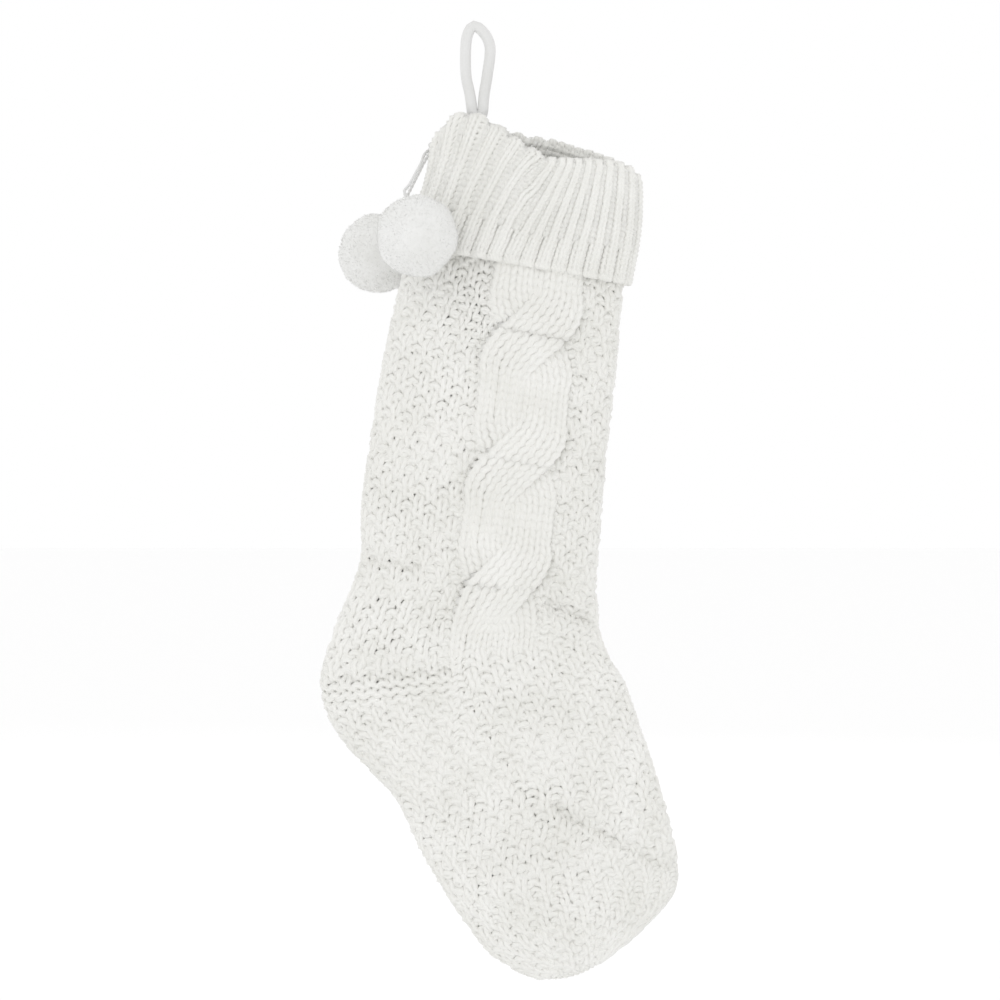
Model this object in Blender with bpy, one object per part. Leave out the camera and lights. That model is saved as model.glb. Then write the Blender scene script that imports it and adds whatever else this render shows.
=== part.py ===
"""A knitted Christmas stocking that hangs by a cord loop, with two pompoms on cords.

Blender 4.5 script, run with: blender --background --python part.py
Metres, +Z up, the flat of the stocking in the XZ plane, its front towards -Y, its toe towards +X.
The origin is the inside of the hanging loop's top, where a hook carries it.
"""

import math

import bmesh
import bpy
from mathutils import Matrix, Vector

MM = 0.001

# ---- driving dimensions, in millimetres ----
GAP = 0.4                # left between pieces that touch
WALL = 3.4               # thickness of one knitted layer
LAYER_GAP = 0.8          # air between the cuff's two layers
ROUND = 2.4              # exponent of the stocking's oval section
RING_POINTS = 32         # points round one section
PATCH_EDGE = math.radians(0.08)   # what the heel and the instep each stop short of their common edge

# The stocking below the cuff: back edge (x, z), front edge (x, z) and half depth of each section.
LEG_TOP = (-30.0, -102, 84, -123, 16)
CALF = [
    (-38.5, -128, 79.5, -148, 19),
    (-49, -175, 76, -190, 20),
    (-57.5, -228, 71, -238, 20),
    (-62.5, -268, 68.5, -270, 19.5),
]
ANKLE = (-62.5, -290, 67, -297, 19)
HEEL_TURN = [
    (-74, -318, 68.5, -318, 19.5),
    (-82, -342, 70.5, -331, 20),
    (-84, -358, 75.5, -343, 20.5),
    (-76, -380, 82.5, -354, 20.5),
    (-58, -401, 90, -376, 21),
]
ARCH = (-42, -419, 99, -402, 21)
BALL = (-31, -443, 107, -430, 21)
TOE_LINE = (-15, -471, 111.8, -452, 20)
TOE_ROUND = [
    (2, -496, 110, -468, 18),
    (14, -507, 100, -481, 15),
    (25, -513.5, 86, -495, 11),
    (34, -516.5, 72, -506, 7),
]

# The turned-down cuff: its lower edge and its fold.
CUFF_LOW = (-41.6, -113, 86, -136, 23.5)
CREST_LEFT, CREST_RIGHT = -24.0, 91.5
CREST_HALF_DEPTH = 20.0
CREST_PINCH = 0.45       # how far the loop draws the fold together at its corner
PINCH_ENDS = (6.0, 50.0)
CUFF_BULGE = 2.5
CUFF_WAIST = 4.0         # how far the heel-side edge is drawn in, half way up
CUFF_HEIGHTS = [0.0, 0.3, 0.6, 0.85]   # rings of the outside layer, as shares of the cuff's height
CUFF_FOLD = 0.95         # where the fold starts
CUFF_INSIDE = 0.27       # where the inside layer ends
FOLD_FLATNESS = 0.7      # the fold's height over its half thickness
# The fold's height along x, on the front and on the back.
CREST_FRONT = [(-24, -60), (-19.5, -51.5), (-14, -46.2), (-8.5, -43.2), (-3, -43.3), (2, -44.8),
               (8, -48.2), (20, -56), (32, -63.5), (41, -68.6), (50, -69.3), (70, -70), (84, -72),
               (91.5, -78)]
CREST_BACK = [(-24, -60), (-19.5, -51.5), (-14, -46.2), (-8.5, -43.2), (-3, -43.3), (2, -44.8),
              (8, -48), (22, -53.5), (45, -57.5), (58, -61.5), (70, -65), (84, -71), (91.5, -78)]

# The hanging loop, its whipping and its tab.
LOOP_CORD = 5.4
LOOP_ROUTE = [(-0.9, -43.4), (-1.5, -38.6), (-2.4, -33.0), (-4.2, -24.0), (-4.4, -10.1), (-3.2, -1.4),
              (0.6, 2.7), (6.4, -2.3), (8.9, -10.1), (7.3, -24.0), (5.8, -33.0), (5.2, -38.6),
              (4.9, -43.4)]
WHIP_CENTRE = (2.0, 0.0, -47.0)
WHIP_RADIUS = 2.6
TAB_SIZE = (9.0, 6.4, 13.0)
TAB_TOP = -50.2

# The pompoms and their cords.
POMPOM_RADIUS = 22.2
POMPOM_FRONT = (-30.1, -40.0, -112.0)
POMPOM_REAR = (-52.6, 28.0, -119.6)
POMPOM_CORD = 1.9
KNOT_CENTRE = (-22.0, 9.0, -62.0)
KNOT_RADIUS = 2.3
TIE_RADIUS = 2.6
CORD_FRONT_ROUTE = [(-24.0, 7.2, -63.6), (-26.9, 3.6, -66.6), (-28.2, -3.0, -71.0), (-31.5, -13.0, -78.0),
                    (-34.6, -22.0, -84.3), (-36.9, -28.4, -87.6)]
CORD_REAR_ROUTE = [(-23.6, 9.95, -64.5), (-27.0, 12.0, -70.0), (-32.5, 15.4, -80.5),
                   (-38.6, 19.1, -92.3)]

SEAM_RIDGE = 2.6         # thickness of the ridges where the knitting is joined inside

IVORY = (0.84, 0.83, 0.79)
COOL_WHITE = (0.76, 0.76, 0.75)


# ---- scene and materials ----
def clear_scene():
    """Remove every object of the open scene."""
    for old in list(bpy.data.objects):
        bpy.data.objects.remove(old, do_unlink=True)


def new_collection(name):
    """A collection linked to the scene."""
    made = bpy.data.collections.new(name)
    bpy.context.scene.collection.children.link(made)
    return made


def yarn_material(name, colour, roughness=0.9):
    """A matt textile finish."""
    made = bpy.data.materials.new(name)
    made.use_nodes = True
    shader = made.node_tree.nodes["Principled BSDF"]
    shader.inputs["Base Color"].default_value = (*colour, 1.0)
    shader.inputs["Roughness"].default_value = roughness
    shader.inputs["Metallic"].default_value = 0.0
    return made


def finish_mesh(name, bm, collection, colour):
    """Turn a bmesh in millimetres into a named object in metres."""
    bmesh.ops.recalc_face_normals(bm, faces=bm.faces)
    bmesh.ops.scale(bm, vec=(MM, MM, MM), verts=bm.verts)
    mesh = bpy.data.meshes.new(name)
    bm.to_mesh(mesh)
    bm.free()
    mesh.shade_smooth()
    mesh.set_sharp_from_angle(angle=math.radians(50))
    made = bpy.data.objects.new(name, mesh)
    mesh.materials.append(yarn_material(name, colour))
    collection.objects.link(made)
    return made


# ---- sections and lofts ----
def oval(angle):
    """The point of the unit oval at an angle: x towards the toe side, y towards the back."""
    c, s = math.cos(angle), math.sin(angle)
    x = math.copysign(abs(c) ** (2 / ROUND), c)
    y = math.copysign(abs(s) ** (2 / ROUND), s)
    return x, y


def ring_angles(first=0.0, last=2 * math.pi, count=RING_POINTS, closed=True):
    """Evenly spaced angles, without the last one when the ring closes on itself."""
    steps = count if closed else count - 1
    return [first + (last - first) * i / steps for i in range(count)]


def section_points(section, inset, angles, slip=0.0):
    """Points round one section of the stocking, set in from its edge and slipped along the stocking."""
    back = Vector((section[0], 0, section[1]))
    front = Vector((section[2], 0, section[3]))
    across = (front - back).normalized()
    along = Vector((across.z, 0, -across.x))
    middle = (back + front) / 2 + along * slip
    half_width = (front - back).length / 2 - inset
    half_depth = section[4] - inset
    points = []
    for angle in angles:
        x, y = oval(angle)
        points.append(middle + across * (x * half_width) + Vector((0, y * half_depth, 0)))
    return points


def add_loop(bm, points):
    """Vertices and edges of one closed loop."""
    verts = [bm.verts.new(p) for p in points]
    edges = [bm.edges.new((verts[i], verts[(i + 1) % len(verts)])) for i in range(len(verts))]
    return edges


def loft(bm, loops, join_ends=False, cap_ends=False):
    """Bridge closed loops in order, then join the last to the first or cap both ends."""
    rings = [add_loop(bm, points) for points in loops]
    pairs = list(zip(rings, rings[1:]))
    if join_ends:
        pairs.append((rings[-1], rings[0]))
    for one, other in pairs:
        bmesh.ops.bridge_loops(bm, edges=one + other)
    if cap_ends:
        for ring in (rings[0], rings[-1]):
            bmesh.ops.contextual_create(bm, geom=ring)


# ---- the knitted stocking ----
def knitted_tube(name, sections, collection):
    """A tube of one knitted layer through sections, open at both ends."""
    angles = ring_angles()
    slips = [GAP / 2] + [0.0] * (len(sections) - 2) + [-GAP / 2]
    outside = [section_points(s, 0.0, angles, slip) for s, slip in zip(sections, slips)]
    inside = [section_points(s, WALL, angles, slip) for s, slip in zip(sections, slips)]
    bm = bmesh.new()
    loft(bm, outside + inside[::-1], join_ends=True)
    return finish_mesh(name, bm, collection, IVORY)


def knitted_patch(name, sections, first, last, collection):
    """One side of the stocking through sections, from one angle to another."""
    angles = ring_angles(first, last, RING_POINTS // 2 + 1, closed=False)
    slips = [GAP / 2] + [0.0] * (len(sections) - 2) + [-GAP / 2]
    loops = []
    for section, slip in zip(sections, slips):
        outside = section_points(section, 0.0, angles, slip)
        inside = section_points(section, WALL, angles, slip)
        loops.append(outside + inside[::-1])
    bm = bmesh.new()
    loft(bm, loops, cap_ends=True)
    return finish_mesh(name, bm, collection, IVORY)


def toe_cap(name, sections, collection):
    """The toe: a knitted cup that ends in a rounded tip."""
    angles = ring_angles()
    slips = [GAP / 2] + [0.0] * (len(sections) - 1)
    outside = [section_points(s, 0.0, angles, slip) for s, slip in zip(sections, slips)]
    inside = [section_points(s, WALL, angles, slip) for s, slip in zip(sections[:-1], slips)]
    bm = bmesh.new()
    loft(bm, inside[::-1] + outside, cap_ends=True)
    return finish_mesh(name, bm, collection, IVORY)


def between(table, x):
    """Height from a table of (x, z) points, on a smooth curve through them."""
    if x <= table[0][0]:
        return table[0][1]
    for i in range(len(table) - 1):
        (x0, z0), (x1, z1) = table[i], table[i + 1]
        if x <= x1:
            share = (x - x0) / (x1 - x0)
            before = table[max(i - 1, 0)]
            after = table[min(i + 2, len(table) - 1)]
            slope0 = (z1 - before[1]) / (x1 - before[0])
            slope1 = (after[1] - z0) / (after[0] - x0)
            a, b = share * share, share * share * share
            span = x1 - x0
            return ((2 * b - 3 * a + 1) * z0 + (b - 2 * a + share) * span * slope0
                    + (3 * a - 2 * b) * z1 + (b - a) * span * slope1)
    return table[-1][1]


def ease(x, low, high):
    """0 below low, 1 above high, smooth between."""
    share = min(1.0, max(0.0, (x - low) / (high - low)))
    return share * share * (3 - 2 * share)


def cuff_ring(share, inset, lift):
    """A ring of the cuff: share 0 is its lower edge and 1 its fold, inset is inwards, lift is upwards."""
    low = section_points(CUFF_LOW, inset, ring_angles())
    middle = (CREST_LEFT + CREST_RIGHT) / 2
    half_width = (CREST_RIGHT - CREST_LEFT) / 2 - inset
    half_depth = CREST_HALF_DEPTH - inset
    points = []
    for start, angle in zip(low, ring_angles()):
        x, y = oval(angle)
        crest_x = middle + x * half_width
        pinch = CREST_PINCH + (1 - CREST_PINCH) * ease(crest_x, *PINCH_ENDS)
        height = between(CREST_FRONT if y < 0 else CREST_BACK, middle + x * (half_width + inset))
        crest = Vector((crest_x, y * half_depth * pinch, height))
        swell = math.sin(math.pi * min(1.0, share))
        side = CUFF_BULGE if x > 0 else -CUFF_WAIST
        bulge = Vector((x * side, y * CUFF_BULGE, 0)) * swell
        points.append(start.lerp(crest, share) + bulge + Vector((0, 0, lift)))
    return points


def turned_cuff(name, collection):
    """The ribbed cuff, turned down over itself: two layers joined by a fold at the top."""
    turn = WALL + LAYER_GAP / 2
    rings = [cuff_ring(h, 0.0, 0.0) for h in CUFF_HEIGHTS]
    for step in range(5):
        angle = math.pi * step / 4
        rings.append(cuff_ring(CUFF_FOLD, turn - turn * math.cos(angle),
                               turn * math.sin(angle) * FOLD_FLATNESS))
    under_fold = CUFF_FOLD - 0.02
    rings += [cuff_ring(h, 2 * turn, 0.0) for h in (0.7, 0.5, CUFF_INSIDE)]
    rings += [cuff_ring(h, WALL + LAYER_GAP, 0.0) for h in (CUFF_INSIDE, 0.5, 0.7, under_fold)]
    rings += [cuff_ring(h, WALL, 0.0) for h in (under_fold, 0.6, 0.3, 0.0)]
    bm = bmesh.new()
    loft(bm, rings, join_ends=True)
    return finish_mesh(name, bm, collection, IVORY)


# ---- cords ----
def smooth_route(points, spacing):
    """Points about spacing apart on a smooth curve through the given points."""
    stops = [Vector(p) for p in points]
    stops = [2 * stops[0] - stops[1]] + stops + [2 * stops[-1] - stops[-2]]
    fine = []
    for i in range(1, len(stops) - 2):
        p0, p1, p2, p3 = stops[i - 1:i + 3]
        for step in range(24):
            t = step / 24
            fine.append(0.5 * (2 * p1 + (p2 - p0) * t + (2 * p0 - 5 * p1 + 4 * p2 - p3) * t * t
                               + (3 * p1 - p0 - 3 * p2 + p3) * t ** 3))
    fine.append(stops[-2])
    total = sum((b - a).length for a, b in zip(fine, fine[1:]))
    count = max(2, round(total / spacing))
    chosen, walked, target = [fine[0]], 0.0, total / count
    for a, b in zip(fine, fine[1:]):
        walked += (b - a).length
        if walked >= target and len(chosen) < count:
            chosen.append(b)
            target += total / count
    chosen.append(fine[-1])
    return chosen


def cord(name, points, diameter, sides, collection, colour):
    """A round cord along points, with closed ends."""
    data = bpy.data.curves.new(name, "CURVE")
    data.dimensions = "3D"
    data.bevel_depth = diameter / 2 * MM
    data.bevel_resolution = sides
    data.use_fill_caps = True
    spline = data.splines.new("POLY")
    spline.points.add(len(points) - 1)
    for point, place in zip(spline.points, points):
        point.co = (place[0] * MM, place[1] * MM, place[2] * MM, 1.0)
    made = bpy.data.objects.new(name, data)
    data.materials.append(yarn_material(name, colour))
    collection.objects.link(made)
    return made


def hanging_loop(collection):
    """The cord loop that the hook goes through."""
    route = [(x, 0.0, z) for x, z in LOOP_ROUTE]
    return cord("hanging_loop", smooth_route(route, 3.0), LOOP_CORD, 3, collection, COOL_WHITE)


def inside_ridge(name, sections, collection):
    """The joining ridge along the back edge, just inside the knitting."""
    clear = WALL + GAP + SEAM_RIDGE / 2
    route = []
    for section in sections:
        back = Vector((section[0], 0, section[1]))
        across = (Vector((section[2], 0, section[3])) - back).normalized()
        route.append(back + across * clear)
    return cord(name, smooth_route(route, 8.0), SEAM_RIDGE, 2, collection, IVORY)


def toe_ridge(name, collection):
    """The joining ridge inside the toe, above its rounded tip."""
    last = TOE_ROUND[-2]
    back = Vector((last[0], 0, last[1]))
    front = Vector((last[2], 0, last[3]))
    across = (front - back).normalized()
    up = Vector((-across.z, 0, across.x))
    lift = WALL + SEAM_RIDGE / 2 + GAP
    start = back + across * (WALL + 5.0) + up * lift
    end = front - across * (WALL + 5.0) + up * lift
    return cord(name, smooth_route([start, (start + end) / 2, end], 6.0), SEAM_RIDGE, 2, collection, IVORY)


# ---- small pieces ----
def ball(name, centre, radius, collection, colour, segments=16):
    """A round ball."""
    bm = bmesh.new()
    bmesh.ops.create_uvsphere(bm, u_segments=segments, v_segments=segments // 2, radius=radius)
    bmesh.ops.translate(bm, verts=bm.verts, vec=centre)
    return finish_mesh(name, bm, collection, colour)


def loop_tab(collection):
    """The sewn-down ends of the loop, inside the cuff's corner."""
    bm = bmesh.new()
    bmesh.ops.create_cube(bm, size=1.0)
    bmesh.ops.scale(bm, vec=TAB_SIZE, verts=bm.verts)
    bmesh.ops.bevel(bm, geom=bm.edges[:], offset=1.6, segments=3, profile=0.5, affect="EDGES", material=-1)
    centre = (WHIP_CENTRE[0], 0.0, TAB_TOP - TAB_SIZE[2] / 2)
    bmesh.ops.translate(bm, verts=bm.verts, vec=centre)
    return finish_mesh("loop_tab", bm, collection, COOL_WHITE)


def bore_cutter(name, centre, mouth, collection):
    """The channel that a pompom's cord comes in by, with room for its tie at the middle."""
    centre, mouth = Vector(centre), Vector(mouth)
    way = (mouth - centre).normalized()
    radius = POMPOM_CORD / 2 + GAP
    length = POMPOM_RADIUS + 6.0
    turn = way.to_track_quat("Z", "Y").to_matrix().to_4x4()
    bm = bmesh.new()
    bmesh.ops.create_cone(bm, cap_ends=True, segments=12, radius1=radius, radius2=radius, depth=length,
                          matrix=Matrix.Translation(centre + way * length / 2) @ turn)
    cutter = finish_mesh(name, bm, collection, IVORY)
    cutter.hide_render = True
    cutter.display_type = "WIRE"
    return cutter


def pompom(name, centre, mouth, collection, cutters):
    """A ball of cut yarn with a channel to its middle."""
    made = ball(name, centre, POMPOM_RADIUS, collection, COOL_WHITE, segments=24)
    room = ball(name + "_room", centre, TIE_RADIUS + GAP, cutters, IVORY, segments=12)
    room.hide_render = True
    room.display_type = "WIRE"
    channel = bore_cutter(name + "_channel", centre, mouth, cutters)
    for cutter in (channel, room):
        cut = made.modifiers.new(cutter.name, "BOOLEAN")
        cut.operation = "DIFFERENCE"
        cut.solver = "EXACT"
        cut.object = cutter
    return made


def pompom_cord(name, route, centre, collection):
    """The cord from the knot at the cuff's edge to the tie at the pompom's middle."""
    centre, mouth = Vector(centre), Vector(route[-1])
    end = centre + (mouth - centre).normalized() * (TIE_RADIUS + GAP)
    way = [Vector(p) for p in route]
    entry = centre + (mouth - centre).normalized() * (POMPOM_RADIUS + 1.0)
    points = smooth_route([*way, entry, (entry + end) / 2, end], 3.6)
    return cord(name, points, POMPOM_CORD, 2, collection, COOL_WHITE)


def hang_on(children, name, place, collection):
    """Parent pieces to an empty on their joint's axis."""
    empty = bpy.data.objects.new(name, None)
    empty.location = Vector(place) * MM
    empty.empty_display_size = 0.01
    collection.objects.link(empty)
    bpy.context.view_layer.update()
    for child in children:
        child.parent = empty
        child.matrix_parent_inverse = empty.matrix_world.inverted()
    return empty


def build():
    """Model every piece."""
    clear_scene()
    parts = new_collection("hanging_stocking")
    cutters = new_collection("cutters")

    hanging_loop(parts)
    whipping = ball("loop_whipping", WHIP_CENTRE, WHIP_RADIUS, parts, COOL_WHITE)
    tab = loop_tab(parts)

    cuff = turned_cuff("cuff", parts)
    turn = [ANKLE, *HEEL_TURN, ARCH]
    leg = knitted_tube("leg", [LEG_TOP, *CALF, ANKLE], parts)
    heel = knitted_patch("heel", turn, math.pi / 2 + PATCH_EDGE, 3 * math.pi / 2 - PATCH_EDGE, parts)
    instep = knitted_patch("instep", turn, -math.pi / 2 + PATCH_EDGE, math.pi / 2 - PATCH_EDGE, parts)
    foot = knitted_tube("foot", [ARCH, BALL, TOE_LINE], parts)
    toe = toe_cap("toe", [TOE_LINE, *TOE_ROUND], parts)
    leg_ridge = inside_ridge("leg_seam", [LEG_TOP, *CALF, ANKLE], parts)
    tip_ridge = toe_ridge("toe_seam", parts)

    knot = ball("cord_knot", KNOT_CENTRE, KNOT_RADIUS, parts, COOL_WHITE)
    front = [
        pompom("pompom_front", POMPOM_FRONT, CORD_FRONT_ROUTE[-1], parts, cutters),
        ball("pompom_tie_front", POMPOM_FRONT, TIE_RADIUS, parts, COOL_WHITE, segments=12),
        pompom_cord("pompom_cord_front", CORD_FRONT_ROUTE, POMPOM_FRONT, parts),
    ]
    rear = [
        pompom("pompom_rear", POMPOM_REAR, CORD_REAR_ROUTE[-1], parts, cutters),
        ball("pompom_tie_rear", POMPOM_REAR, TIE_RADIUS, parts, COOL_WHITE, segments=12),
        pompom_cord("pompom_cord_rear", CORD_REAR_ROUTE, POMPOM_REAR, parts),
    ]

    hang_on(front, "front_pompom_pivot", KNOT_CENTRE, parts)
    hang_on(rear, "rear_pompom_pivot", KNOT_CENTRE, parts)
    hang_on([whipping], "sway_pivot", WHIP_CENTRE, parts)
    body = [tab, cuff, leg, heel, instep, foot, toe, leg_ridge, tip_ridge, knot]
    hang_on(body, "swing_pivot", WHIP_CENTRE, parts)


build()
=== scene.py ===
import math
import random
from bisect import bisect_right

import bmesh
import bpy
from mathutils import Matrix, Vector, noise


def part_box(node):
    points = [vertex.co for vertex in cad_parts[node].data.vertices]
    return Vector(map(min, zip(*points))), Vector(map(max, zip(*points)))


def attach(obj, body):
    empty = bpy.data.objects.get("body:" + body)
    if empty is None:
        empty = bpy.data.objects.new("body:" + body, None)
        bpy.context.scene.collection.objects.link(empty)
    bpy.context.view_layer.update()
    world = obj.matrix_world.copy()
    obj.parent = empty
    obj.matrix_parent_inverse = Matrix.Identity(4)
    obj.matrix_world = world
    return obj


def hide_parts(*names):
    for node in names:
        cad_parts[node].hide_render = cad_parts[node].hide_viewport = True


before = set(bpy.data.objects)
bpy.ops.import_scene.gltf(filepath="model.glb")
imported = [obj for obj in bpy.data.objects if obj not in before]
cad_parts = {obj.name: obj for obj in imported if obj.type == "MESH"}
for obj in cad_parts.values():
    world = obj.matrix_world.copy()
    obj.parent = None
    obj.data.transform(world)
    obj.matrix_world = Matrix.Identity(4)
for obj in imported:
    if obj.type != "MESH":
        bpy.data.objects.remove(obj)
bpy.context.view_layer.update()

random.seed(18)
MM = 0.001

# ---- driving dimensions, in millimetres ----
# The stocking's sections from under the cuff to the toe: back edge (x, z), front edge (x, z), half depth.
SECTIONS = [
    (-28.4, -97, 84.5, -118, 16),
    (-37, -123, 80.5, -146, 18.5),
    (-47, -165, 77, -190, 20),
    (-55.5, -213, 72, -234, 20),
    (-61.5, -258, 69, -273, 19.7),
    (-62.5, -288, 67, -299, 19),
    (-74, -318, 68.5, -318, 19.5),
    (-82, -342, 70.5, -331, 20),
    (-84, -358, 75.5, -343, 20.5),
    (-76, -380, 82.5, -354, 20.5),
    (-58, -401, 90, -376, 21),
    (-42, -419, 99, -402, 21),
    (-31, -443, 107, -430, 21),
    (-15, -471, 111.8, -452, 20),
    (2, -496, 110, -468, 18),
    (14, -507, 100, -481, 15),
    (25, -513.5, 86, -495, 11),
    (34, -516.5, 72, -506, 7),
]
ROUND = 2.4              # exponent of the oval section
HEEL_FROM, HEEL_TO = 7.0, 11.0     # the sections between which heel and instep are knitted apart
TOE_FROM, TOE_TO = 13.0, 16.9
TOE_TIP = [(27, -511.5), (35, -514.3), (46, -515), (58, -512), (70, -505.5)]
LADDER_X = -10.0         # where the heel's stitches are worked together, on both faces

# The chunky knitting.
YARN = 3.95
STITCH = 6.7             # width of a moss stitch
COURSE = 4.5             # height of a course
TOE_STITCH, TOE_COURSE = 5.5, 3.6
TOE_YARN = 0.88          # the toe's yarn over the yarn of the rest
LEG_STITCHES = 36        # moss stitches in a course of the leg
PATCH_STITCHES = 24      # stitches in a course of the heel or the instep
HEEL_PURL_ROWS = (3, 4)  # the heel's courses that are purl all the way
LOOP_REACH = 0.78        # half height of a loop over the height of a course
LOOP_SPREAD = 0.2        # how far a loop bows out, over its width
LOOP_DEPTH = 1.05        # how far a loop stands out of the fabric
MIDDLE = 2.55            # from the outline to the middle of the knitting

# The cable.
CABLE_STITCHES = 8
CABLE_STITCH = 5.7
CABLE_SWELL = 1.22       # the cable's yarn over the yarn of the rest
STRAND_OFFSET = 11.5     # from the cable's axis to a strand's middle, between crossings
BORDER = 3.4             # the purl column on each side
CROSSINGS = (-164.0, -232.0, -300.0)
CROSSING_LENGTH = 50.0
CABLE_END = -331.0

# The ribbed cuff.
CUFF_LOW = (-41.6, -113, 86, -136, 23.5)
CREST_LEFT, CREST_RIGHT = -24.0, 91.5
CREST_HALF_DEPTH = 20.0
CREST_PINCH = 0.45
PINCH_ENDS = (6.0, 50.0)
CUFF_BULGE = 2.5
CUFF_WAIST = 4.0
CUFF_INSIDE = 0.27
CUFF_FOLD = 0.95
FOLD_SPAN = 0.09         # the fold's own share of the cuff's height
CUFF_MIDDLE = 1.9        # from the outline to the middle of the ribbing
CUFF_TURN = 3.8          # from the outline to the air between the two layers
CREST_FRONT = [(-24, -60), (-19.5, -51.5), (-14, -46.2), (-8.5, -43.2), (-3, -43.3), (2, -44.8),
               (8, -48.2), (20, -56), (32, -63.5), (41, -68.6), (50, -69.3), (70, -70), (84, -72),
               (91.5, -78)]
CREST_BACK = [(-24, -60), (-19.5, -51.5), (-14, -46.2), (-8.5, -43.2), (-3, -43.3), (2, -44.8),
              (8, -48), (22, -53.5), (45, -57.5), (58, -61.5), (70, -65), (84, -71), (91.5, -78)]
RIB_SLANT = 0.65         # how far the ribs turn towards the loop on their way up, in radians
RIBS = 32
RIB_YARN = 3.0
RIB_COURSES = 21         # from the cuff's lower edge to its fold
RIB_DEPTH = 0.8          # how far a rib's loop stands out of the fabric
KNIT_SHARE = 0.84        # the share of a rib's width that its two knit columns take

# The hanging loop and the pompoms.
LOOP_CORD = 6.1
LOOP_ROUTE = [(-0.9, -43.4), (-1.5, -38.6), (-2.4, -33.0), (-4.2, -24.0), (-4.4, -10.1), (-3.2, -1.4),
              (0.6, 2.7), (6.4, -2.3), (8.9, -10.1), (7.3, -24.0), (5.8, -33.0), (5.2, -38.6),
              (4.9, -43.4)]
WHIP_CENTRE = (2.0, 0.0, -47.0)
POMPOM_RADIUS = 22.2
POMPOM_FRONT = (-30.1, -40.0, -112.0)
POMPOM_REAR = (-52.6, 28.0, -119.6)
POMPOM_CORD = 1.9
PILE_ENDS = 9000         # cut yarn ends on one pompom
PILE_YARN = 0.34
TIE_ROOM = 3.0
KNOT_CENTRE = (-22.0, 9.0, -62.0)
CORD_FRONT_ROUTE = [(-24.0, 7.2, -63.6), (-26.9, 3.6, -66.6), (-28.2, -3.0, -71.0), (-31.5, -13.0, -78.0),
                    (-34.6, -22.0, -84.3), (-36.9, -28.4, -87.6)]
CORD_REAR_ROUTE = [(-23.6, 9.95, -64.5), (-27.0, 12.0, -70.0), (-32.5, 15.4, -80.5),
                   (-38.6, 19.1, -92.3)]

IVORY = (0.835, 0.831, 0.805)
COOL_WHITE = (0.74, 0.74, 0.735)
PILE_WHITE = (0.8, 0.8, 0.79)


# ---- camera, lights and floor ----
def aim(thing, place, target):
    """Put a camera or light at a place and turn it to a target, both in metres."""
    thing.location = place
    thing.rotation_euler = (Vector(target) - Vector(place)).to_track_quat("-Z", "Y").to_euler()


def add_camera():
    """A long lens in front of the stocking, a little above its middle."""
    made = bpy.data.objects.new("camera", bpy.data.cameras.new("camera"))
    made.data.lens = 135
    made.data.sensor_width = 36
    target = Vector((14.2, 0, -254.4)) * MM
    rise = math.radians(2.5)
    away = 2.043
    aim(made, target + Vector((0, -math.cos(rise), math.sin(rise))) * away, target)
    bpy.context.scene.collection.objects.link(made)
    bpy.context.scene.camera = made


def area_light(name, place, target, size, power):
    """A soft square light."""
    data = bpy.data.lights.new(name, "AREA")
    data.size = size
    data.energy = power
    made = bpy.data.objects.new(name, data)
    aim(made, place, target)
    bpy.context.scene.collection.objects.link(made)


def add_studio():
    """Bright even surroundings, soft light from the front and a plain pale floor."""
    world = bpy.data.worlds.new("studio")
    world.use_nodes = True
    shine = world.node_tree.nodes["Background"]
    shine.inputs["Color"].default_value = (1, 1, 1, 1)
    shine.inputs["Strength"].default_value = 1.0
    bpy.context.scene.world = world
    bpy.context.scene.view_settings.view_transform = "Standard"

    middle = (0.01, 0, -0.27)
    area_light("key", (-0.9, -1.7, 0.75), middle, 0.9, 3)
    area_light("fill", (1.2, -1.5, -0.1), middle, 1.0, 0.8)
    area_light("back_fill", (0.3, 1.8, 0.5), middle, 1.2, 1.5)

    bm = bmesh.new()
    bmesh.ops.create_grid(bm, x_segments=1, y_segments=1, size=6.0)
    bmesh.ops.translate(bm, verts=bm.verts, vec=(0, 0, -0.62))
    mesh = bpy.data.meshes.new("floor")
    bm.to_mesh(mesh)
    bm.free()
    floor = bpy.data.objects.new("floor", mesh)
    paint = bpy.data.materials.new("floor")
    paint.use_nodes = True
    shader = paint.node_tree.nodes["Principled BSDF"]
    shader.inputs["Base Color"].default_value = (0.985, 0.985, 0.985, 1)
    shader.inputs["Roughness"].default_value = 0.9
    mesh.materials.append(paint)
    bpy.context.scene.collection.objects.link(floor)


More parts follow.
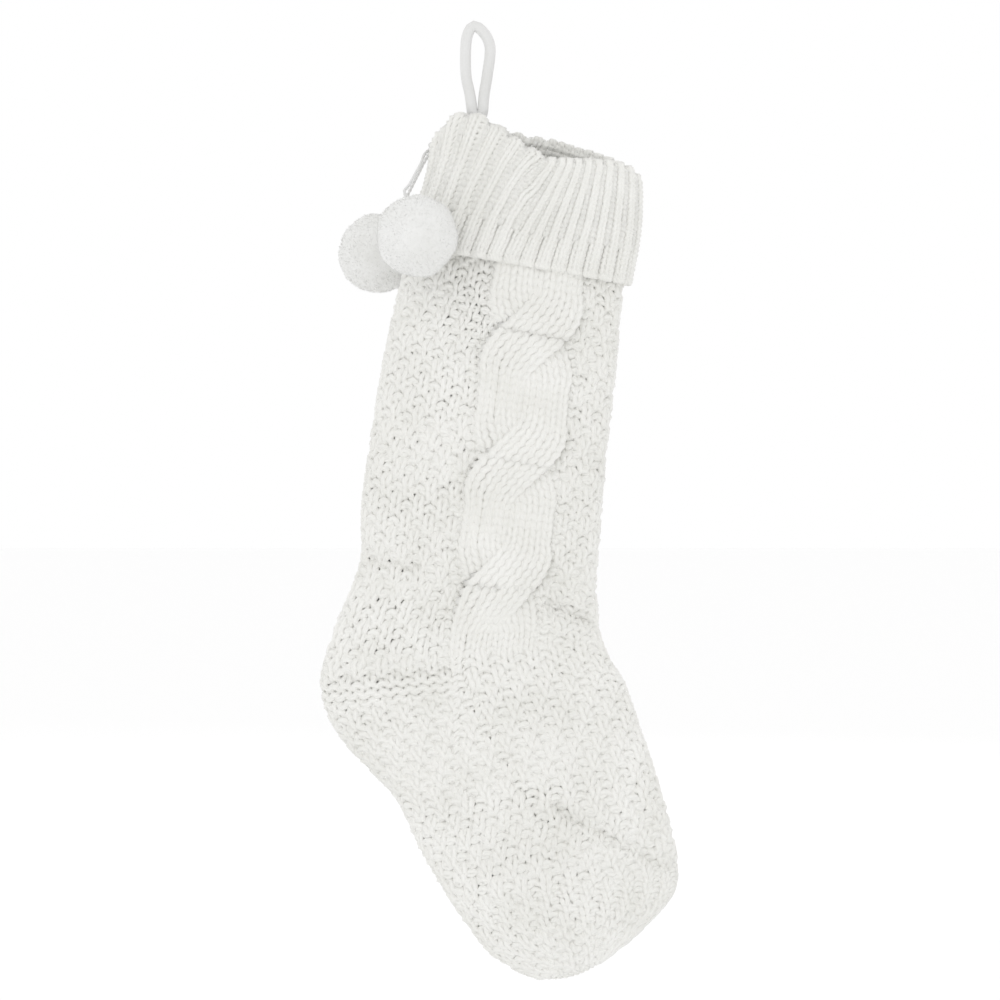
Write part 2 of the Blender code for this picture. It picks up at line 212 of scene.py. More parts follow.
# ---- materials ----
def wool(name, colour, grain, fuzz):
    """Matt yarn: uneven colour, fine fibres in relief and a soft sheen of loose ends."""
    made = bpy.data.materials.new(name)
    made.use_nodes = True
    nodes, links = made.node_tree.nodes, made.node_tree.links
    shader = nodes["Principled BSDF"]
    shader.inputs["Roughness"].default_value = 0.92
    shader.inputs["Sheen Weight"].default_value = fuzz
    shader.inputs["Sheen Roughness"].default_value = 0.55
    shader.inputs["Specular IOR Level"].default_value = 0.18

    place = nodes.new("ShaderNodeTexCoord")
    patch = nodes.new("ShaderNodeTexNoise")
    patch.inputs["Scale"].default_value = 38.0
    patch.inputs["Detail"].default_value = 2.0
    speck = nodes.new("ShaderNodeTexNoise")
    speck.inputs["Scale"].default_value = 900.0
    speck.inputs["Detail"].default_value = 3.0
    both = nodes.new("ShaderNodeMath")
    both.operation = "MULTIPLY_ADD"
    both.inputs[1].default_value = 0.45
    tint = nodes.new("ShaderNodeValToRGB")
    dark = [c * 0.95 for c in colour]
    light = [min(0.98, c * 1.03) for c in colour]
    tint.color_ramp.elements[0].position = 0.45
    tint.color_ramp.elements[0].color = (dark[0], dark[1], dark[2] * 0.985, 1)
    tint.color_ramp.elements[1].position = 0.95
    tint.color_ramp.elements[1].color = (*light, 1)
    for texture in (patch, speck):
        links.new(place.outputs["Object"], texture.inputs["Vector"])
    links.new(speck.outputs["Fac"], both.inputs[0])
    links.new(patch.outputs["Fac"], both.inputs[2])
    links.new(both.outputs["Value"], tint.inputs["Fac"])
    links.new(tint.outputs["Color"], shader.inputs["Base Color"])

    fibre = nodes.new("ShaderNodeTexNoise")
    fibre.inputs["Scale"].default_value = grain
    fibre.inputs["Detail"].default_value = 4.0
    fibre.inputs["Distortion"].default_value = 1.2
    relief = nodes.new("ShaderNodeBump")
    relief.inputs["Strength"].default_value = 0.35
    relief.inputs["Distance"].default_value = 0.0004
    links.new(place.outputs["Object"], fibre.inputs["Vector"])
    links.new(fibre.outputs["Fac"], relief.inputs["Height"])
    links.new(relief.outputs["Normal"], shader.inputs["Normal"])
    return made


# ---- yarn ----
def yarn(name, lines, diameter, finish, sides=1, closed=False, taper=None):
    """One piece made of yarn that follows each line of points, in millimetres."""
    data = bpy.data.curves.new(name, "CURVE")
    data.dimensions = "3D"
    data.bevel_depth = diameter / 2 * MM
    data.bevel_resolution = sides
    data.use_fill_caps = True
    for line in lines:
        spline = data.splines.new("POLY")
        spline.points.add(len(line) - 1)
        spline.points.foreach_set("co", [c for x, y, z in line for c in (x * MM, y * MM, z * MM, 1.0)])
        if taper:
            spline.points.foreach_set("radius", taper(line) if callable(taper) else taper)
        spline.use_cyclic_u = closed
    data.materials.append(finish)
    made = bpy.data.objects.new(name, data)
    bpy.context.scene.collection.objects.link(made)
    return made


def smooth_route(points, spacing):
    """Points about spacing apart on a smooth curve through the given points."""
    stops = [Vector(p) for p in points]
    stops = [2 * stops[0] - stops[1]] + stops + [2 * stops[-1] - stops[-2]]
    fine = []
    for i in range(1, len(stops) - 2):
        p0, p1, p2, p3 = stops[i - 1:i + 3]
        for step in range(24):
            t = step / 24
            fine.append(0.5 * (2 * p1 + (p2 - p0) * t + (2 * p0 - 5 * p1 + 4 * p2 - p3) * t * t
                               + (3 * p1 - p0 - 3 * p2 + p3) * t ** 3))
    fine.append(stops[-2])
    total = route_length(fine)
    count = max(2, round(total / spacing))
    chosen, walked, target = [fine[0]], 0.0, total / count
    for a, b in zip(fine, fine[1:]):
        walked += (b - a).length
        if walked >= target and len(chosen) < count:
            chosen.append(b)
            target += total / count
    chosen.append(fine[-1])
    return chosen


def route_length(points):
    """Length of a line through points."""
    return sum((Vector(b) - Vector(a)).length for a, b in zip(points, points[1:]))


def twisted(route, plies, ply_radius, pitch, spacing=0.7):
    """Lines of the plies that twist round a route."""
    points = smooth_route(route, spacing)
    lines = [[] for _ in range(plies)]
    walked = 0.0
    for i, point in enumerate(points):
        ahead = points[min(i + 1, len(points) - 1)] - points[max(i - 1, 0)]
        ahead.normalize()
        side = ahead.cross(Vector((0.0, 1.0, 0.02))).normalized()
        other = ahead.cross(side)
        if i:
            walked += (point - points[i - 1]).length
        for n, line in enumerate(lines):
            turn = 2 * math.pi * (walked / pitch + n / plies)
            line.append(point + (side * math.cos(turn) + other * math.sin(turn)) * ply_radius)
    return lines


def as_mesh(curve):
    """Replace a curve object by a mesh object of the same name and shape."""
    graph = bpy.context.evaluated_depsgraph_get()
    mesh = bpy.data.meshes.new_from_object(curve.evaluated_get(graph))
    name = curve.name
    bpy.data.objects.remove(curve, do_unlink=True)
    mesh.name = name
    made = bpy.data.objects.new(name, mesh)
    bpy.context.scene.collection.objects.link(made)
    return made


# ---- small helpers ----
def ease(x, low, high):
    """0 below low, 1 above high, smooth between."""
    share = min(1.0, max(0.0, (x - low) / (high - low)))
    return share * share * (3 - 2 * share)


def wobble(a, b, seed):
    """Smooth unevenness from -1 to 1."""
    return noise.noise(Vector((a * 0.37 + 11.3 * seed, b * 0.41 - 7.1 * seed, 3.7 * seed)))


def oval(angle):
    """The point of the unit oval at an angle: x towards the toe side, y towards the back."""
    c, s = math.cos(angle), math.sin(angle)
    x = math.copysign(abs(c) ** (2 / ROUND), c)
    y = math.copysign(abs(s) ** (2 / ROUND), s)
    return x, y


# ---- the stocking's surface ----
FINE = 12                # steps between two sections


def fine_sections():
    """The sections with smooth steps between them."""
    made = []
    for i in range(len(SECTIONS) - 1):
        a, b, c, d = (SECTIONS[min(max(k, 0), len(SECTIONS) - 1)] for k in range(i - 1, i + 3))
        for step in range(FINE):
            t = step / FINE
            made.append([0.5 * (2 * q + (r - p) * t + (2 * p - 5 * q + 4 * r - s) * t * t
                                + (3 * q - p - 3 * r + s) * t ** 3) for p, q, r, s in zip(a, b, c, d)])
    made.append(list(SECTIONS[-1]))
    return made


FINE_SECTIONS = fine_sections()


def section_at(along):
    """The section at a place along the stocking: 0 is the first one and 17 the last."""
    place = min(max(along * FINE, 0.0), len(FINE_SECTIONS) - 1.001)
    i = int(place)
    t = place - i
    return [a + (b - a) * t for a, b in zip(FINE_SECTIONS[i], FINE_SECTIONS[i + 1])]


def sock_point(along, angle, rise):
    """A point that stands out from the outline by rise, at an angle round the stocking."""
    back_x, back_z, front_x, front_z, depth = section_at(along)
    width = math.hypot(front_x - back_x, front_z - back_z) / 2
    way_x, way_z = (front_x - back_x) / width / 2, (front_z - back_z) / width / 2
    x, y = oval(angle)
    x *= width + rise
    place_x, place_z = (back_x + front_x) / 2 + way_x * x, (back_z + front_z) / 2 + way_z * x
    y *= depth + rise
    y += math.copysign(min(1.0, abs(y) / 8), y) * creases(place_x, place_z)
    return place_x, y, place_z


# Folds in the fabric: from (x, z), to (x, z), depth and half width.
CREASES = [
    ((42, -311), (74, -327), 6.5, 4.5),
    ((-66, -286), (-30, -291), 3.6, 4.5),
    ((45, -421), (104, -455), 4.5, 4.5),
    ((-74, -352), (-14, -347), 3.0, 4.0),
]

STRETCHED = (6, -150, 26)    # x, z and reach of the open stitches below the cuff


def creases(x, z):
    """How far the fabric is pressed in at a place."""
    total = 0.0
    for (x0, z0), (x1, z1), depth, width in CREASES:
        dx, dz = x1 - x0, z1 - z0
        share = min(1.0, max(0.0, ((x - x0) * dx + (z - z0) * dz) / (dx * dx + dz * dz)))
        away = math.hypot(x - x0 - share * dx, z - z0 - share * dz)
        if away < 3 * width:
            total -= depth * math.exp(-(away / width) ** 2)
    return total


class Round:
    """One round of the stocking, which turns a distance along it into an angle and back."""

    STEPS = 120

    def __init__(self, along):
        self.angles = [2 * math.pi * i / self.STEPS for i in range(self.STEPS + 1)]
        points = [sock_point(along, a, -MIDDLE) for a in self.angles]
        self.distances = [0.0]
        for a, b in zip(points, points[1:]):
            self.distances.append(self.distances[-1] + math.dist(a, b))
        self.length = self.distances[-1]

    def angle(self, distance):
        """The angle at a distance along the round."""
        distance %= self.length
        i = min(bisect_right(self.distances, distance) - 1, self.STEPS - 1)
        low, high = self.distances[i], self.distances[i + 1]
        return self.angles[i] + (self.angles[i + 1] - self.angles[i]) * (distance - low) / (high - low)

    def distance(self, angle):
        """The distance along the round at an angle."""
        place = angle / (2 * math.pi) * self.STEPS
        i = min(int(place), self.STEPS - 1)
        return self.distances[i] + (self.distances[i + 1] - self.distances[i]) * (place - i)


# ---- the knitting ----
LOOP_STEPS = 10


def loop_shape(steps, spread):
    """One stitch: its place across as a share of its width, how far up and how far out, from -1 to 1."""
    shape = []
    for i in range(steps):
        turn = 2 * math.pi * i / steps
        across = i / steps + spread * math.sin(2 * turn)
        shape.append((i / steps, across, -math.cos(turn), -math.cos(2 * turn)))
    return shape


def facing(before, own, after, share):
    """Knit is 1 and purl is -1; the yarn passes from one to the other between two stitches."""
    if share < 0.25:
        return own + (before - own) * (0.5 - 2 * share)
    if share > 0.75:
        return own + (after - own) * (2 * share - 1.5)
    return own


def moss(column, row):
    """Double moss stitch: knit and purl swap at every stitch and at every second course."""
    return 1 if (column + row // 2) % 2 else -1


def courses_between(first, last, side, height):
    """Places of courses a course's height apart, measured on one side (-1 back edge, 1 front edge)."""
    steps = 200
    line = []
    for i in range(steps + 1):
        back_x, back_z, front_x, front_z, _ = section_at(first + (last - first) * i / steps)
        share = (side + 1) / 2
        line.append((back_x + (front_x - back_x) * share, back_z + (front_z - back_z) * share))
    lengths = [0.0]
    for a, b in zip(line, line[1:]):
        lengths.append(lengths[-1] + math.dist(a, b))
    count = round(lengths[-1] / height)
    places = []
    for n in range(count + 1):
        target = lengths[-1] * n / count
        i = min(bisect_right(lengths, target) - 1, steps - 1)
        part = (target - lengths[i]) / (lengths[i + 1] - lengths[i])
        places.append(first + (last - first) * (i + part) / steps)
    return places


# ---- the cable ----
def cable_axis_x(z):
    """The cable's axis leans with the leg."""
    return 33.0 + 0.125 * (z + 150.0)


def cable_swing(z):
    """How far apart the strands lie, 0 to 1, how steeply they lean, 0 to 1, and the way to the crossing."""
    nearest = min(CROSSINGS, key=lambda crossing: abs(z - crossing))
    past = nearest - z
    share = min(1.0, abs(past) / (CROSSING_LENGTH / 2))
    if nearest == CROSSINGS[-1] and past > 0:
        return share, math.cos(share * math.pi / 2), past
    return math.sin(share * math.pi / 2), math.cos(share * math.pi / 2), past


def cable_half_width(z):
    """Half the cable's width, which narrows where the strands cross."""
    apart, lean, _ = cable_swing(z)
    return STRAND_OFFSET * apart + CABLE_STITCHES / 4 * CABLE_STITCH * (1 + 0.45 * lean)


def cable_place(column, share, z):
    """Where a part of a cable stitch lies: across from the axis, and out of the fabric."""
    apart, lean, past = cable_swing(z)
    left = column < CABLE_STITCHES / 2
    in_front = left if past > 0 else not left
    pitch = CABLE_STITCH * (1 + 0.45 * lean)
    local = (column % 4 + share - 2) * pitch
    across = (-STRAND_OFFSET if left else STRAND_OFFSET) * apart + local
    round_off = 1 - (local / (2.15 * pitch)) ** 2
    rise = 0.4 + 2.6 * max(0.0, round_off) ** 0.7
    rise += (3.4 if in_front else -1.6) * lean
    end = ease(z, CABLE_END, CABLE_END + 26)
    if z < CROSSINGS[-1]:
        dome = 1 - (across / (2.1 * CABLE_STITCHES / 4 * pitch)) ** 2
        whole = ease(CROSSINGS[-1] - z, 4, 22)
        rise += (4.2 * max(0.0, dome) - rise) * whole
    return across, rise * end


class Column:
    """One stitch of a course: where it starts, how wide it is and whether it is knit or purl."""

    def __init__(self, start, width, face, cable=None):
        self.start, self.width, self.face, self.cable = start, width, face, cable

    def place(self, share, z):
        """Where a share of the stitch's width lies: along the course, and out of the fabric."""
        if self.cable is not None:
            return cable_place(self.cable, share, z)
        return self.start + self.width * share, 0.0


def leg_columns(length, z, row, stitches):
    """The stitches of a leg course, from the cable's left edge round to its left border."""
    half = cable_half_width(z)
    columns = [Column(0, CABLE_STITCH, 1, cable=i) for i in range(CABLE_STITCHES)]
    columns.append(Column(half, BORDER, -1))
    width = (length - 2 * half - 2 * BORDER) / stitches
    for i in range(stitches):
        columns.append(Column(half + BORDER + i * width, width, moss(i, row)))
    columns.append(Column(length - half - BORDER, BORDER, -1))
    return columns


def plain_columns(start, length, stitches, row):
    """Moss stitches side by side."""
    width = length / stitches
    return [Column(start + i * width, width, moss(i, row)) for i in range(stitches)]


def drift(along):
    """How far the stocking's middle slides along its own course, per section."""
    ends = []
    for place in (along - 0.1, along + 0.1):
        back_x, back_z, front_x, front_z, _ = section_at(place)
        ends.append(Vector(((back_x + front_x) / 2, (back_z + front_z) / 2)))
    back_x, back_z, front_x, front_z, _ = section_at(along)
    return (ends[1] - ends[0]).dot(Vector((front_x - back_x, front_z - back_z)).normalized()) / 0.2


def course_line(along, step, columns, origin, ring, row, closed):
    """The yarn's line through one course of stitches, each of which stands upright on its course."""
    line = []
    slide = drift(along)
    shape = loop_shape(LOOP_STEPS, LOOP_SPREAD)
    count = len(columns)
    for i, column in enumerate(columns):
        before = columns[i - 1].face if closed or i else column.face
        after = columns[(i + 1) % count].face if closed or i < count - 1 else column.face
        sway_x = 0.5 * wobble(i, row, 1)
        sway_z = 0.16 * wobble(i, row, 2)
        sway_out = 0.55 * wobble(i, row, 3)
        depth = LOOP_DEPTH * (0.75 if column.cable is not None else 1.0)
        for share, across, up, out in shape:
            place = along - step * (LOOP_REACH * up + sway_z)
            z = axis_height(place)
            distance, lift = column.place(across, z)
            face = facing(before, column.face, after, share)
            rise = lift + sway_out + depth * face * out - MIDDLE
            angle = ring.angle(origin + distance + sway_x)
            upright = slide * (place - along) * math.sin(angle) if column.cable is None else 0.0
            line.append(sock_point(place, ring.angle(origin + distance + sway_x + upright), rise))
    return line


def course_step(places, row):
    """The space between a course and its neighbour."""
    row = min(row, len(places) - 2)
    return places[row + 1] - places[row]


def axis_height(along):
    """Height of the front face's middle at a place along the stocking."""
    _, back_z, _, front_z, _ = section_at(along)
    return back_z + (front_z - back_z) * 0.6


def angle_of(along, x):
    """Angle on the back face of the place that lies at x."""
    back_x, _, front_x, _, _ = section_at(along)
    x = (x - (back_x + front_x) / 2) / ((front_x - back_x) / 2)
    return math.acos(math.copysign(abs(x) ** (ROUND / 2), x))


def axis_angle(along):
    """Angle of the cable's axis on the front face."""
    return 2 * math.pi - angle_of(along, cable_axis_x(axis_height(along)))


def thickness_along(line):
    """The yarn swells in the cable, which starts each course of the leg, and is drawn thin in STRETCHED."""
    cable = CABLE_STITCHES * LOOP_STEPS
    in_leg = line[0][2] > CABLE_END
    shares = []
    for i, (x, y, z) in enumerate(line):
        if in_leg and i < cable:
            shares.append(CABLE_SWELL)
        elif y < 0:
            centre_x, centre_z, reach = STRETCHED
            drawn = math.exp(-((x - centre_x) ** 2 + (z - centre_z) ** 2) / reach ** 2)
            thin = max(0.0, noise.noise(Vector((x, y, z)) * 0.16))
            shares.append(1 - 0.36 * drawn - 0.3 * thin * (1 - drawn))
        else:
            shares.append(1.0)
    return shares


def leg_lines(places, first_row):
    """The courses of the leg, with the cable down the front."""
    lines = []
    for n, along in enumerate(places):
        ring = Round(along)
        step = course_step(places, n)
        origin = ring.distance(axis_angle(along))
        columns = leg_columns(ring.length, axis_height(along), first_row + n, LEG_STITCHES)
        lines.append(course_line(along, step, columns, origin, ring, first_row + n, True))
    return lines


def patch_lines(places, first_angle, last_angle, stitches, plain_rows=()):
    """Courses that go half way round: the heel or the instep."""
    lines = []
    for row, along in enumerate(places):
        ring = Round(along)
        step = course_step(places, row)
        start = ring.distance(first_angle)
        length = (ring.distance(last_angle % (2 * math.pi)) - start) % ring.length
        columns = plain_columns(0.0, length, stitches, row)
        if row in plain_rows:
            columns = [Column(c.start, c.width, -1) for c in columns]
        lines.append(course_line(along, step, columns, start, ring, row, False))
    return lines


def ring_lines(places, stitch):
    """Courses of moss stitch all the way round: the foot or the toe."""
    lines = []
    for row, along in enumerate(places):
        ring = Round(along)
        step = course_step(places, row)
        stitches = 2 * max(4, round(ring.length / stitch / 2))
        columns = plain_columns(0.0, ring.length, stitches, row)
        origin = ring.distance(axis_angle(min(along, 13.0)))
        lines.append(course_line(along, step, columns, origin, ring, row, True))
    return lines


def add_stocking(finish):
    """The chunky knitting from under the cuff to the toe."""
    whole = courses_between(0.05, HEEL_FROM, 0.1, COURSE)
    half = len(whole) // 2
    heel_rows = courses_between(HEEL_FROM + 0.2, HEEL_TO, -0.6, COURSE)
    instep_rows = courses_between(HEEL_FROM + 0.2, HEEL_TO, 0.6, COURSE)
    foot_rows = courses_between(HEEL_TO + 0.19, TOE_FROM, 0.0, COURSE)
    toe_rows = courses_between(TOE_FROM + 0.15, TOE_TO, 0.0, TOE_COURSE)
    quarter = math.pi / 2
    made = {
        "leg_upper_knitting": (leg_lines(whole[:half], 0), True, ["leg"]),
        "leg_lower_knitting": (leg_lines(whole[half:], half), True, []),
        "heel_knitting": (patch_lines(heel_rows, quarter, 3 * quarter, PATCH_STITCHES, HEEL_PURL_ROWS),
                          False, ["heel"]),
        "instep_knitting": (patch_lines(instep_rows, 3 * quarter, quarter, PATCH_STITCHES),
                            False, ["instep"]),
        "foot_knitting": (ring_lines(foot_rows, STITCH), True, ["foot"]),
        "toe_knitting": (ring_lines(toe_rows, TOE_STITCH), True, ["toe"]),
    }
    for name, (lines, closed, nodes) in made.items():
        thickness = YARN * (TOE_YARN if name == "toe_knitting" else 1.0)
        taper = thickness_along if closed else None
        piece = yarn(name, lines, thickness, finish, closed=closed, taper=taper)
        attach(piece, "stocking")
        if nodes:
            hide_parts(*nodes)


def add_joining_columns(finish):
    """The twisted columns where heel and instep meet, and the closing of the toe."""
    lines = []
    places = [HEEL_FROM + (HEEL_TO - HEEL_FROM) * i / 20 for i in range(21)]
    for angle in (math.pi / 2, 3 * math.pi / 2):
        lines += twisted([sock_point(place, angle, -2.8) for place in places], 2, 1.1, 7.0)
    for side in (-1, 1):
        lines += twisted([sock_point(place, angle_of(place, LADDER_X) * side, -2.0) for place in places],
                         2, 1.1, 6.0)
    for y, lift in ((-3.2, 1.8), (0.0, 0.0), (3.2, 1.8)):
        tip = [Vector((x, y, z + lift)) for x, z in TOE_TIP]
        lines += twisted(tip, 2, 1.3, 6.0)
    piece = yarn("joining_columns", lines, 2.3, finish)
    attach(piece, "stocking")


# ---- the cuff ----
def between(table, x):
    """Height from a table of (x, z) points, on a smooth curve through them."""
    if x <= table[0][0]:
        return table[0][1]
    for i in range(len(table) - 1):
        (x0, z0), (x1, z1) = table[i], table[i + 1]
        if x <= x1:
            share = (x - x0) / (x1 - x0)
            before = table[max(i - 1, 0)]
            after = table[min(i + 2, len(table) - 1)]
            slope0 = (z1 - before[1]) / (x1 - before[0])
            slope1 = (after[1] - z0) / (after[0] - x0)
            a, b = share * share, share * share * share
            span = x1 - x0
            return ((2 * b - 3 * a + 1) * z0 + (b - 2 * a + share) * span * slope0
                    + (3 * a - 2 * b) * z1 + (b - a) * span * slope1)
    return table[-1][1]


def cuff_surface(angle, share, inset, lift):
    """A point of the cuff: share 0 is its lower edge and 1 its crest."""
    x, y = oval(angle)
    back_x, back_z, front_x, front_z, depth = CUFF_LOW
    width = math.hypot(front_x - back_x, front_z - back_z) / 2
    way_x, way_z = (front_x - back_x) / width / 2, (front_z - back_z) / width / 2
    low_x = (back_x + front_x) / 2 + way_x * x * (width - inset)
    low_z = (back_z + front_z) / 2 + way_z * x * (width - inset)
    low_y = y * (depth - inset)
    middle = (CREST_LEFT + CREST_RIGHT) / 2
    half_width = (CREST_RIGHT - CREST_LEFT) / 2
    crest_x = middle + x * (half_width - inset)
    pinch = CREST_PINCH + (1 - CREST_PINCH) * ease(crest_x, *PINCH_ENDS)
    crest_z = between(CREST_FRONT if y < 0 else CREST_BACK, middle + x * half_width)
    crest_y = y * (CREST_HALF_DEPTH - inset) * pinch
    swell = math.sin(math.pi * min(1.0, max(0.0, share)))
    side = CUFF_BULGE if x > 0 else -CUFF_WAIST
    return (low_x + (crest_x - low_x) * share + x * side * swell,
            low_y + (crest_y - low_y) * share + y * CUFF_BULGE * swell,
            low_z + (crest_z - low_z) * share + lift)


def cuff_point(angle, height, rise):
    """A point of the folded cuff: height runs up the outside, over the fold and down the inside."""
    small = CUFF_TURN - CUFF_MIDDLE
    if height <= CUFF_FOLD:
        return cuff_surface(angle, height, CUFF_MIDDLE - rise, 0.0)
    if height <= CUFF_FOLD + FOLD_SPAN:
        turn = math.pi * (height - CUFF_FOLD) / FOLD_SPAN
        inset = CUFF_TURN - (small + rise) * math.cos(turn)
        return cuff_surface(angle, CUFF_FOLD, inset, (small + rise) * math.sin(turn))
    share = CUFF_FOLD - (height - CUFF_FOLD - FOLD_SPAN)
    return cuff_surface(angle, share, CUFF_TURN + small + rise, 0.0)


def slanted(angle, height):
    """A rib's angle at a height: on the way up the ribs turn towards the loop, then stand straight."""
    if height > CUFF_FOLD + FOLD_SPAN:
        height = 2 * CUFF_FOLD + FOLD_SPAN - height
    share = max(0.0, min(height, CUFF_FOLD))
    angle %= 2 * math.pi
    side = 1 if angle > math.pi else -1
    past = abs(angle - math.pi)
    turn = RIB_SLANT * math.sin(past) * (1 - past / math.pi) ** 1.5 * share ** 1.4
    return math.pi + side * (past + turn)


def rib_angles():
    """A table of angle against the distance round the cuff at its middle height."""
    steps = 240
    angles = [2 * math.pi * i / steps for i in range(steps + 1)]
    points = [cuff_point(a, 0.5, 0.0) for a in angles]
    distances = [0.0]
    for a, b in zip(points, points[1:]):
        distances.append(distances[-1] + math.dist(a, b))
    return angles, distances


def add_cuff(finish):
    """The two-by-two ribbed cuff: both layers, the fold and the cast-off edge."""
    angles, distances = rib_angles()
    total = distances[-1]

    def angle_at(share):
        """The angle at a share of the way round the cuff."""
        distance = share % 1.0 * total
        i = min(bisect_right(distances, distance) - 1, len(angles) - 2)
        part = (distance - distances[i]) / (distances[i + 1] - distances[i])
        return angles[i] + (angles[i + 1] - angles[i]) * part

    step = CUFF_FOLD / RIB_COURSES
    inside = CUFF_FOLD + FOLD_SPAN + (CUFF_FOLD - CUFF_INSIDE)
    rows = int(inside / step)
    knit_width, purl_width = KNIT_SHARE / 2, (1 - KNIT_SHARE) / 2
    stitches = [(0.0, knit_width, 1), (knit_width, knit_width, 1),
                (KNIT_SHARE, purl_width, -1), (KNIT_SHARE + purl_width, purl_width, -1)]
    shape = loop_shape(8, 0.2)

    def rib_line(row):
        """The yarn's line through one course of ribbing."""
        line = []
        for rib in range(RIBS):
            for i, (start, width, face) in enumerate(stitches):
                before, after = stitches[i - 1][2], stitches[(i + 1) % 4][2]
                sway_z = 0.14 * wobble(rib * 4 + i, row, 4)
                sway_out = 0.25 * wobble(rib * 4 + i, row, 5)
                for share, across, up, out in shape:
                    height = (row + 0.5 + 0.8 * up + sway_z) * step
                    phase = start + width * across
                    hump = 1 - abs(2 * phase / KNIT_SHARE - 1) ** 3 if 0 <= phase <= KNIT_SHARE else 0.0
                    groove = 2.3 + 1.0 * ease(height, 0.05, 0.35)
                    side = facing(before, face, after, share)
                    rise = -groove + (groove + 0.2) * hump + sway_out + RIB_DEPTH * side * out
                    angle = angle_at((rib + phase + 0.06 * wobble(rib, row, 6)) / RIBS)
                    line.append(cuff_point(slanted(angle, height), height, rise))
        return line

    groups = {
        "cuff_lower_ribbing": (range(0, RIB_COURSES // 2), 1, ["cuff"]),
        "cuff_upper_ribbing": (range(RIB_COURSES // 2, RIB_COURSES + 2), 1, []),
        "cuff_inside_ribbing": (range(RIB_COURSES + 2, rows), 0, []),
    }
    for name, (chosen, sides, nodes) in groups.items():
        piece = yarn(name, [rib_line(row) for row in chosen], RIB_YARN, finish, sides=sides, closed=True)
        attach(piece, "stocking")
        if nodes:
            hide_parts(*nodes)

    lines = [[], []]
    count = RIBS * 24
    for i in range(count):
        phase = i / count * RIBS % 1.0
        hump = 1 - abs(2 * phase / KNIT_SHARE - 1) ** 3 if phase <= KNIT_SHARE else 0.0
        for n, line in enumerate(lines):
            turn = 2 * math.pi * (i / 8 + n / 2)
            line.append(cuff_point(angle_at(i / count), -0.004 + 0.013 * math.cos(turn),
                                   -2.2 + 2.4 * hump + 0.9 * math.sin(turn)))
    edge = yarn("cuff_cast_off_edge", lines, RIB_YARN, finish, closed=True)
    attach(edge, "stocking")


# ---- the loop, the knot and the seams ----
def add_loop(finish):
    """The hanging loop: a soft round cord whose two ends are drawn together below it."""
    route = smooth_route([(x, 0.0, z) for x, z in LOOP_ROUTE], 2.5)
    cord = yarn("loop_cord", [route], LOOP_CORD, finish, sides=5)
    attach(cord, "loop")
    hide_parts("hanging_loop")

    top, foot = route[0].z, WHIP_CENTRE[2] - 0.6
    strands = [[(x, 0.0, top + 0.3), (x * 0.85 + 0.3, 0.0, top - 1.4), (x * 0.3 + 1.4, 0.0, foot)]
               for x in (route[0].x, route[-1].x)]
    whipping = yarn("loop_whipped_ends", strands, LOOP_CORD, finish, sides=5)
    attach(whipping, "whipping")
    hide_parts("loop_whipping")


def add_knot(finish):
    """The overhand knot that holds both pompom cords on the cuff."""
    line = []
    for i in range(72):
        t = 2 * math.pi * i / 72
        x, z = math.sin(t) + 2 * math.sin(2 * t), math.cos(t) - 2 * math.cos(2 * t)
        place = Vector((x, math.sin(3 * t), z))
        line.append(Vector(KNOT_CENTRE) + place * 0.75)
    knot = yarn("cord_overhand_knot", [line], POMPOM_CORD, finish, sides=2, closed=True)
    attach(knot, "stocking")
    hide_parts("cord_knot")


def add_seams(finish):
    """The joining ridges inside the leg and the toe."""
    leg = [sock_point(i * 0.25, math.pi, -5.2) for i in range(1, 21)]
    piece = yarn("leg_seam_ridge", twisted(leg, 2, 0.6, 5.0), 1.4, finish)
    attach(piece, "stocking")
    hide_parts("leg_seam")
    low, high = (Vector(p) * 1000 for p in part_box("toe_seam"))
    start = Vector((low.x + 1.3, 0, low.z + 1.3))
    end = Vector((high.x - 1.3, 0, high.z - 1.3))
    piece = yarn("toe_seam_ridge", twisted([start, (start + end) / 2, end], 2, 0.6, 5.0), 1.4, finish)
    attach(piece, "stocking")
    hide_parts("toe_seam")


# ---- pompoms ----
def add_pompom_cord(name, node, body, route, centre, finish):
    """A two-ply cord from the knot into the middle of its pompom."""
    centre, mouth = Vector(centre), Vector(route[-1])
    way = (mouth - centre).normalized()
    end = centre + way * TIE_ROOM
    entry = centre + way * (POMPOM_RADIUS + 1.0)
    path = smooth_route([*(Vector(p) for p in route), entry, (entry + end) / 2, end], 3.6)
    strands = twisted(path, 2, POMPOM_CORD * 0.24, 5.0)
    made = as_mesh(yarn(name, strands, POMPOM_CORD * 0.56, finish))
    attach(made, body)
    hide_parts(node)
    return made, path


def pompom_radius(way, seed):
    """The clipped pile is a little uneven."""
    return POMPOM_RADIUS - 0.5 + 1.1 * noise.noise(way * 2.3 + Vector((seed, 0, 0)))


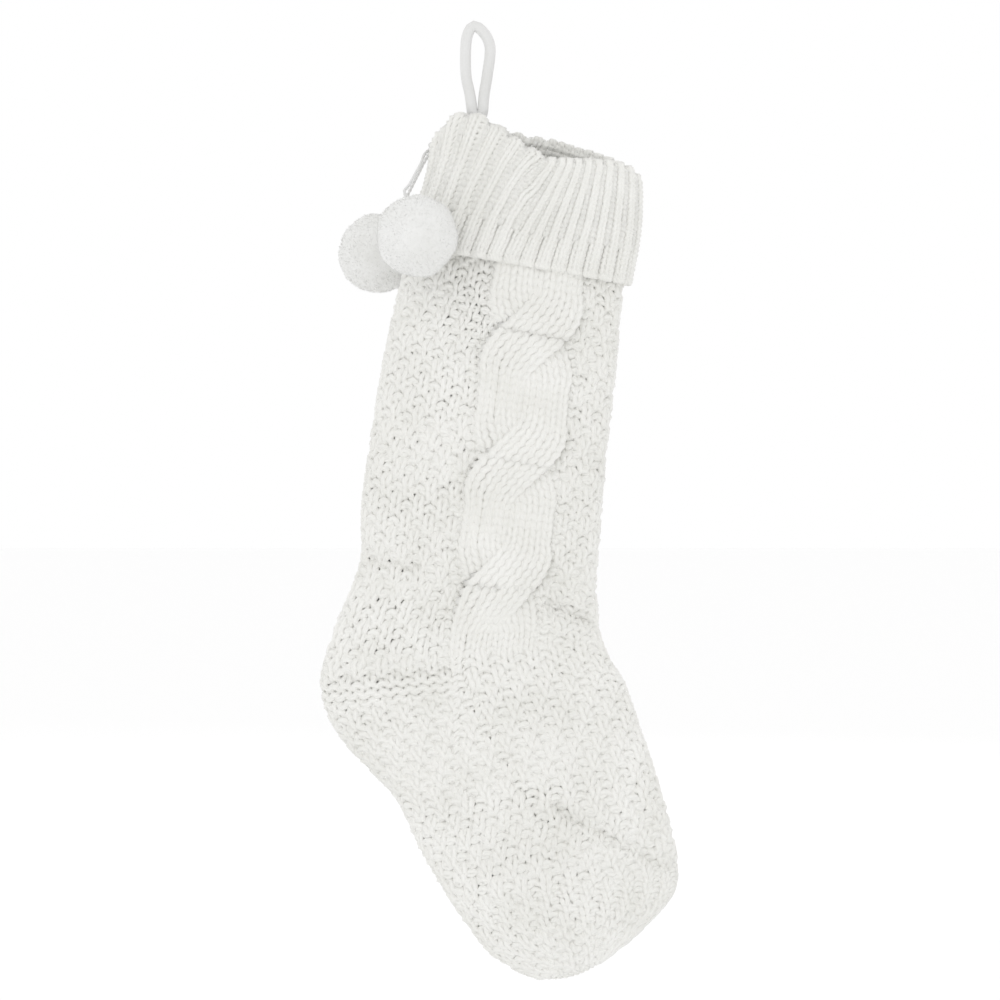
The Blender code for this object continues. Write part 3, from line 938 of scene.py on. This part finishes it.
def add_pompom(name, node, body, centre, finish, seed):
    """A ball of soft cut yarn: a dense body and thousands of fine ends that stand out of it."""
    centre = Vector(centre)
    bm = bmesh.new()
    bmesh.ops.create_icosphere(bm, subdivisions=5, radius=1.0)
    for vert in bm.verts:
        way = vert.co.normalized()
        vert.co = centre + way * (pompom_radius(way, seed) - 0.2 + 0.2 * noise.noise(way * 9))
    bmesh.ops.scale(bm, vec=(MM, MM, MM), verts=bm.verts)
    mesh = bpy.data.meshes.new(name + "_core")
    bm.to_mesh(mesh)
    bm.free()
    mesh.shade_smooth()
    mesh.materials.append(finish)
    core = bpy.data.objects.new(name + "_core", mesh)
    bpy.context.scene.collection.objects.link(core)

    golden = math.pi * (3 - math.sqrt(5))
    lines = []
    for i in range(PILE_ENDS):
        z = 1 - 2 * (i + 0.5) / PILE_ENDS
        ring = math.sqrt(1 - z * z)
        way = Vector((math.cos(golden * i) * ring, math.sin(golden * i) * ring, z))
        way = (way + Vector([random.uniform(-0.03, 0.03) for _ in range(3)])).normalized()
        lean = Vector([random.uniform(-1, 1) for _ in range(3)])
        radius = pompom_radius(way, seed) + random.uniform(-0.3, 0.2)
        lines.append([centre + way * (radius - 1.6),
                      centre + way * (radius - 0.4) + lean * 0.3,
                      centre + way * radius + lean * 0.6])
    pile = yarn(name + "_pile", lines, PILE_YARN, finish, sides=0, taper=[1.0, 0.9, 0.5])
    for piece in (core, pile):
        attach(piece, body)
    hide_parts(node)


def dress_ties(finish):
    """The ties inside the pompoms and the loop's sewn-down tab keep their modelled shape."""
    for node in ("pompom_tie_front", "pompom_tie_rear", "loop_tab"):
        piece = bpy.data.objects[node]
        piece.data.materials.clear()
        piece.data.materials.append(finish)


def build():
    """Make the whole scene."""
    add_camera()
    knit_wool = wool("ivory_wool", IVORY, 1400.0, 0.35)
    loop_wool = wool("loop_cord_cotton", COOL_WHITE, 1800.0, 0.2)
    cord_wool = wool("pompom_cord_cotton", COOL_WHITE, 2400.0, 0.2)
    pile_wool = wool("pompom_wool", PILE_WHITE, 1800.0, 0.5)

    add_loop(loop_wool)
    for name, route, centre, seed in (("front", CORD_FRONT_ROUTE, POMPOM_FRONT, 1.7),
                                      ("rear", CORD_REAR_ROUTE, POMPOM_REAR, 6.2)):
        body = name + "_pompom"
        add_pompom("pompom_" + name, "pompom_" + name, body, centre, pile_wool, seed)
        cord, path = add_pompom_cord(name + "_cord", "pompom_cord_" + name, body, route, centre, cord_wool)
    add_knot(cord_wool)
    add_stocking(knit_wool)
    add_joining_columns(knit_wool)
    add_cuff(knit_wool)
    add_seams(knit_wool)
    dress_ties(cord_wool)
    add_studio()


build()
